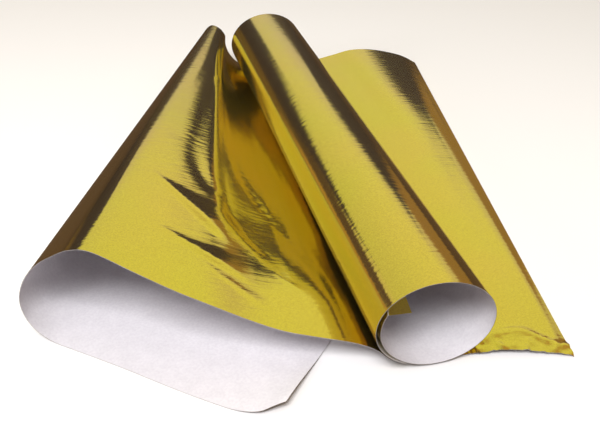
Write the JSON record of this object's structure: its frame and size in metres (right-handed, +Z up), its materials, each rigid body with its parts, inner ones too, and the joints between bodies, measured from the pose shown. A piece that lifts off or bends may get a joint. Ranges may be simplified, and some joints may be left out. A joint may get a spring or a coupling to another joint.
{
  "type": "roll of sign vinyl",
  "caption": "Gold mirror sign vinyl on a white release liner: a loose sheet with one end curled under, and a rolled length lying in its hollow.",
  "frame": {"origin": "centre of the bottom of the whole object's bounding box, on the surface that the sheet lies on", "axes": "+Y along the rolled length's axis, from the open front end with the dog-eared corner to the back; +X to the right, from the sheet's curled end to its straight end; +Z up"},
  "size_m": [0.5348, 0.6804, 0.0935],
  "materials": {
    "gold_film": "metallised gold mirror film with a fine grain",
    "adhesive": "clear pressure-sensitive acrylic adhesive",
    "release_liner": "white silicone-coated paper, satin"
  },
  "bodies": {
    "sheet": {"sheet_face_film": "gold_film", "sheet_adhesive": "adhesive", "sheet_release_liner": "release_liner"},
    "roll": {"roll_face_film": "gold_film", "roll_adhesive": "adhesive", "roll_release_liner": "release_liner"},
    "corner": {"corner_face_film": "gold_film", "corner_adhesive": "adhesive", "corner_release_liner": "release_liner"}
  },
  "joints": [
    {"name": "roll_lift", "type": "slide", "parent": "sheet", "child": "roll", "axis": [0, 0, 1], "range_m": [0, 0.15]},
    {"name": "corner_crease", "type": "hinge", "parent": "roll", "child": "corner", "pos_m": [0.00259, -0.32015, 0.06279], "axis": [0.3614, 0.8843, 0.2956], "range_deg": [-60, 60]}
  ]
}
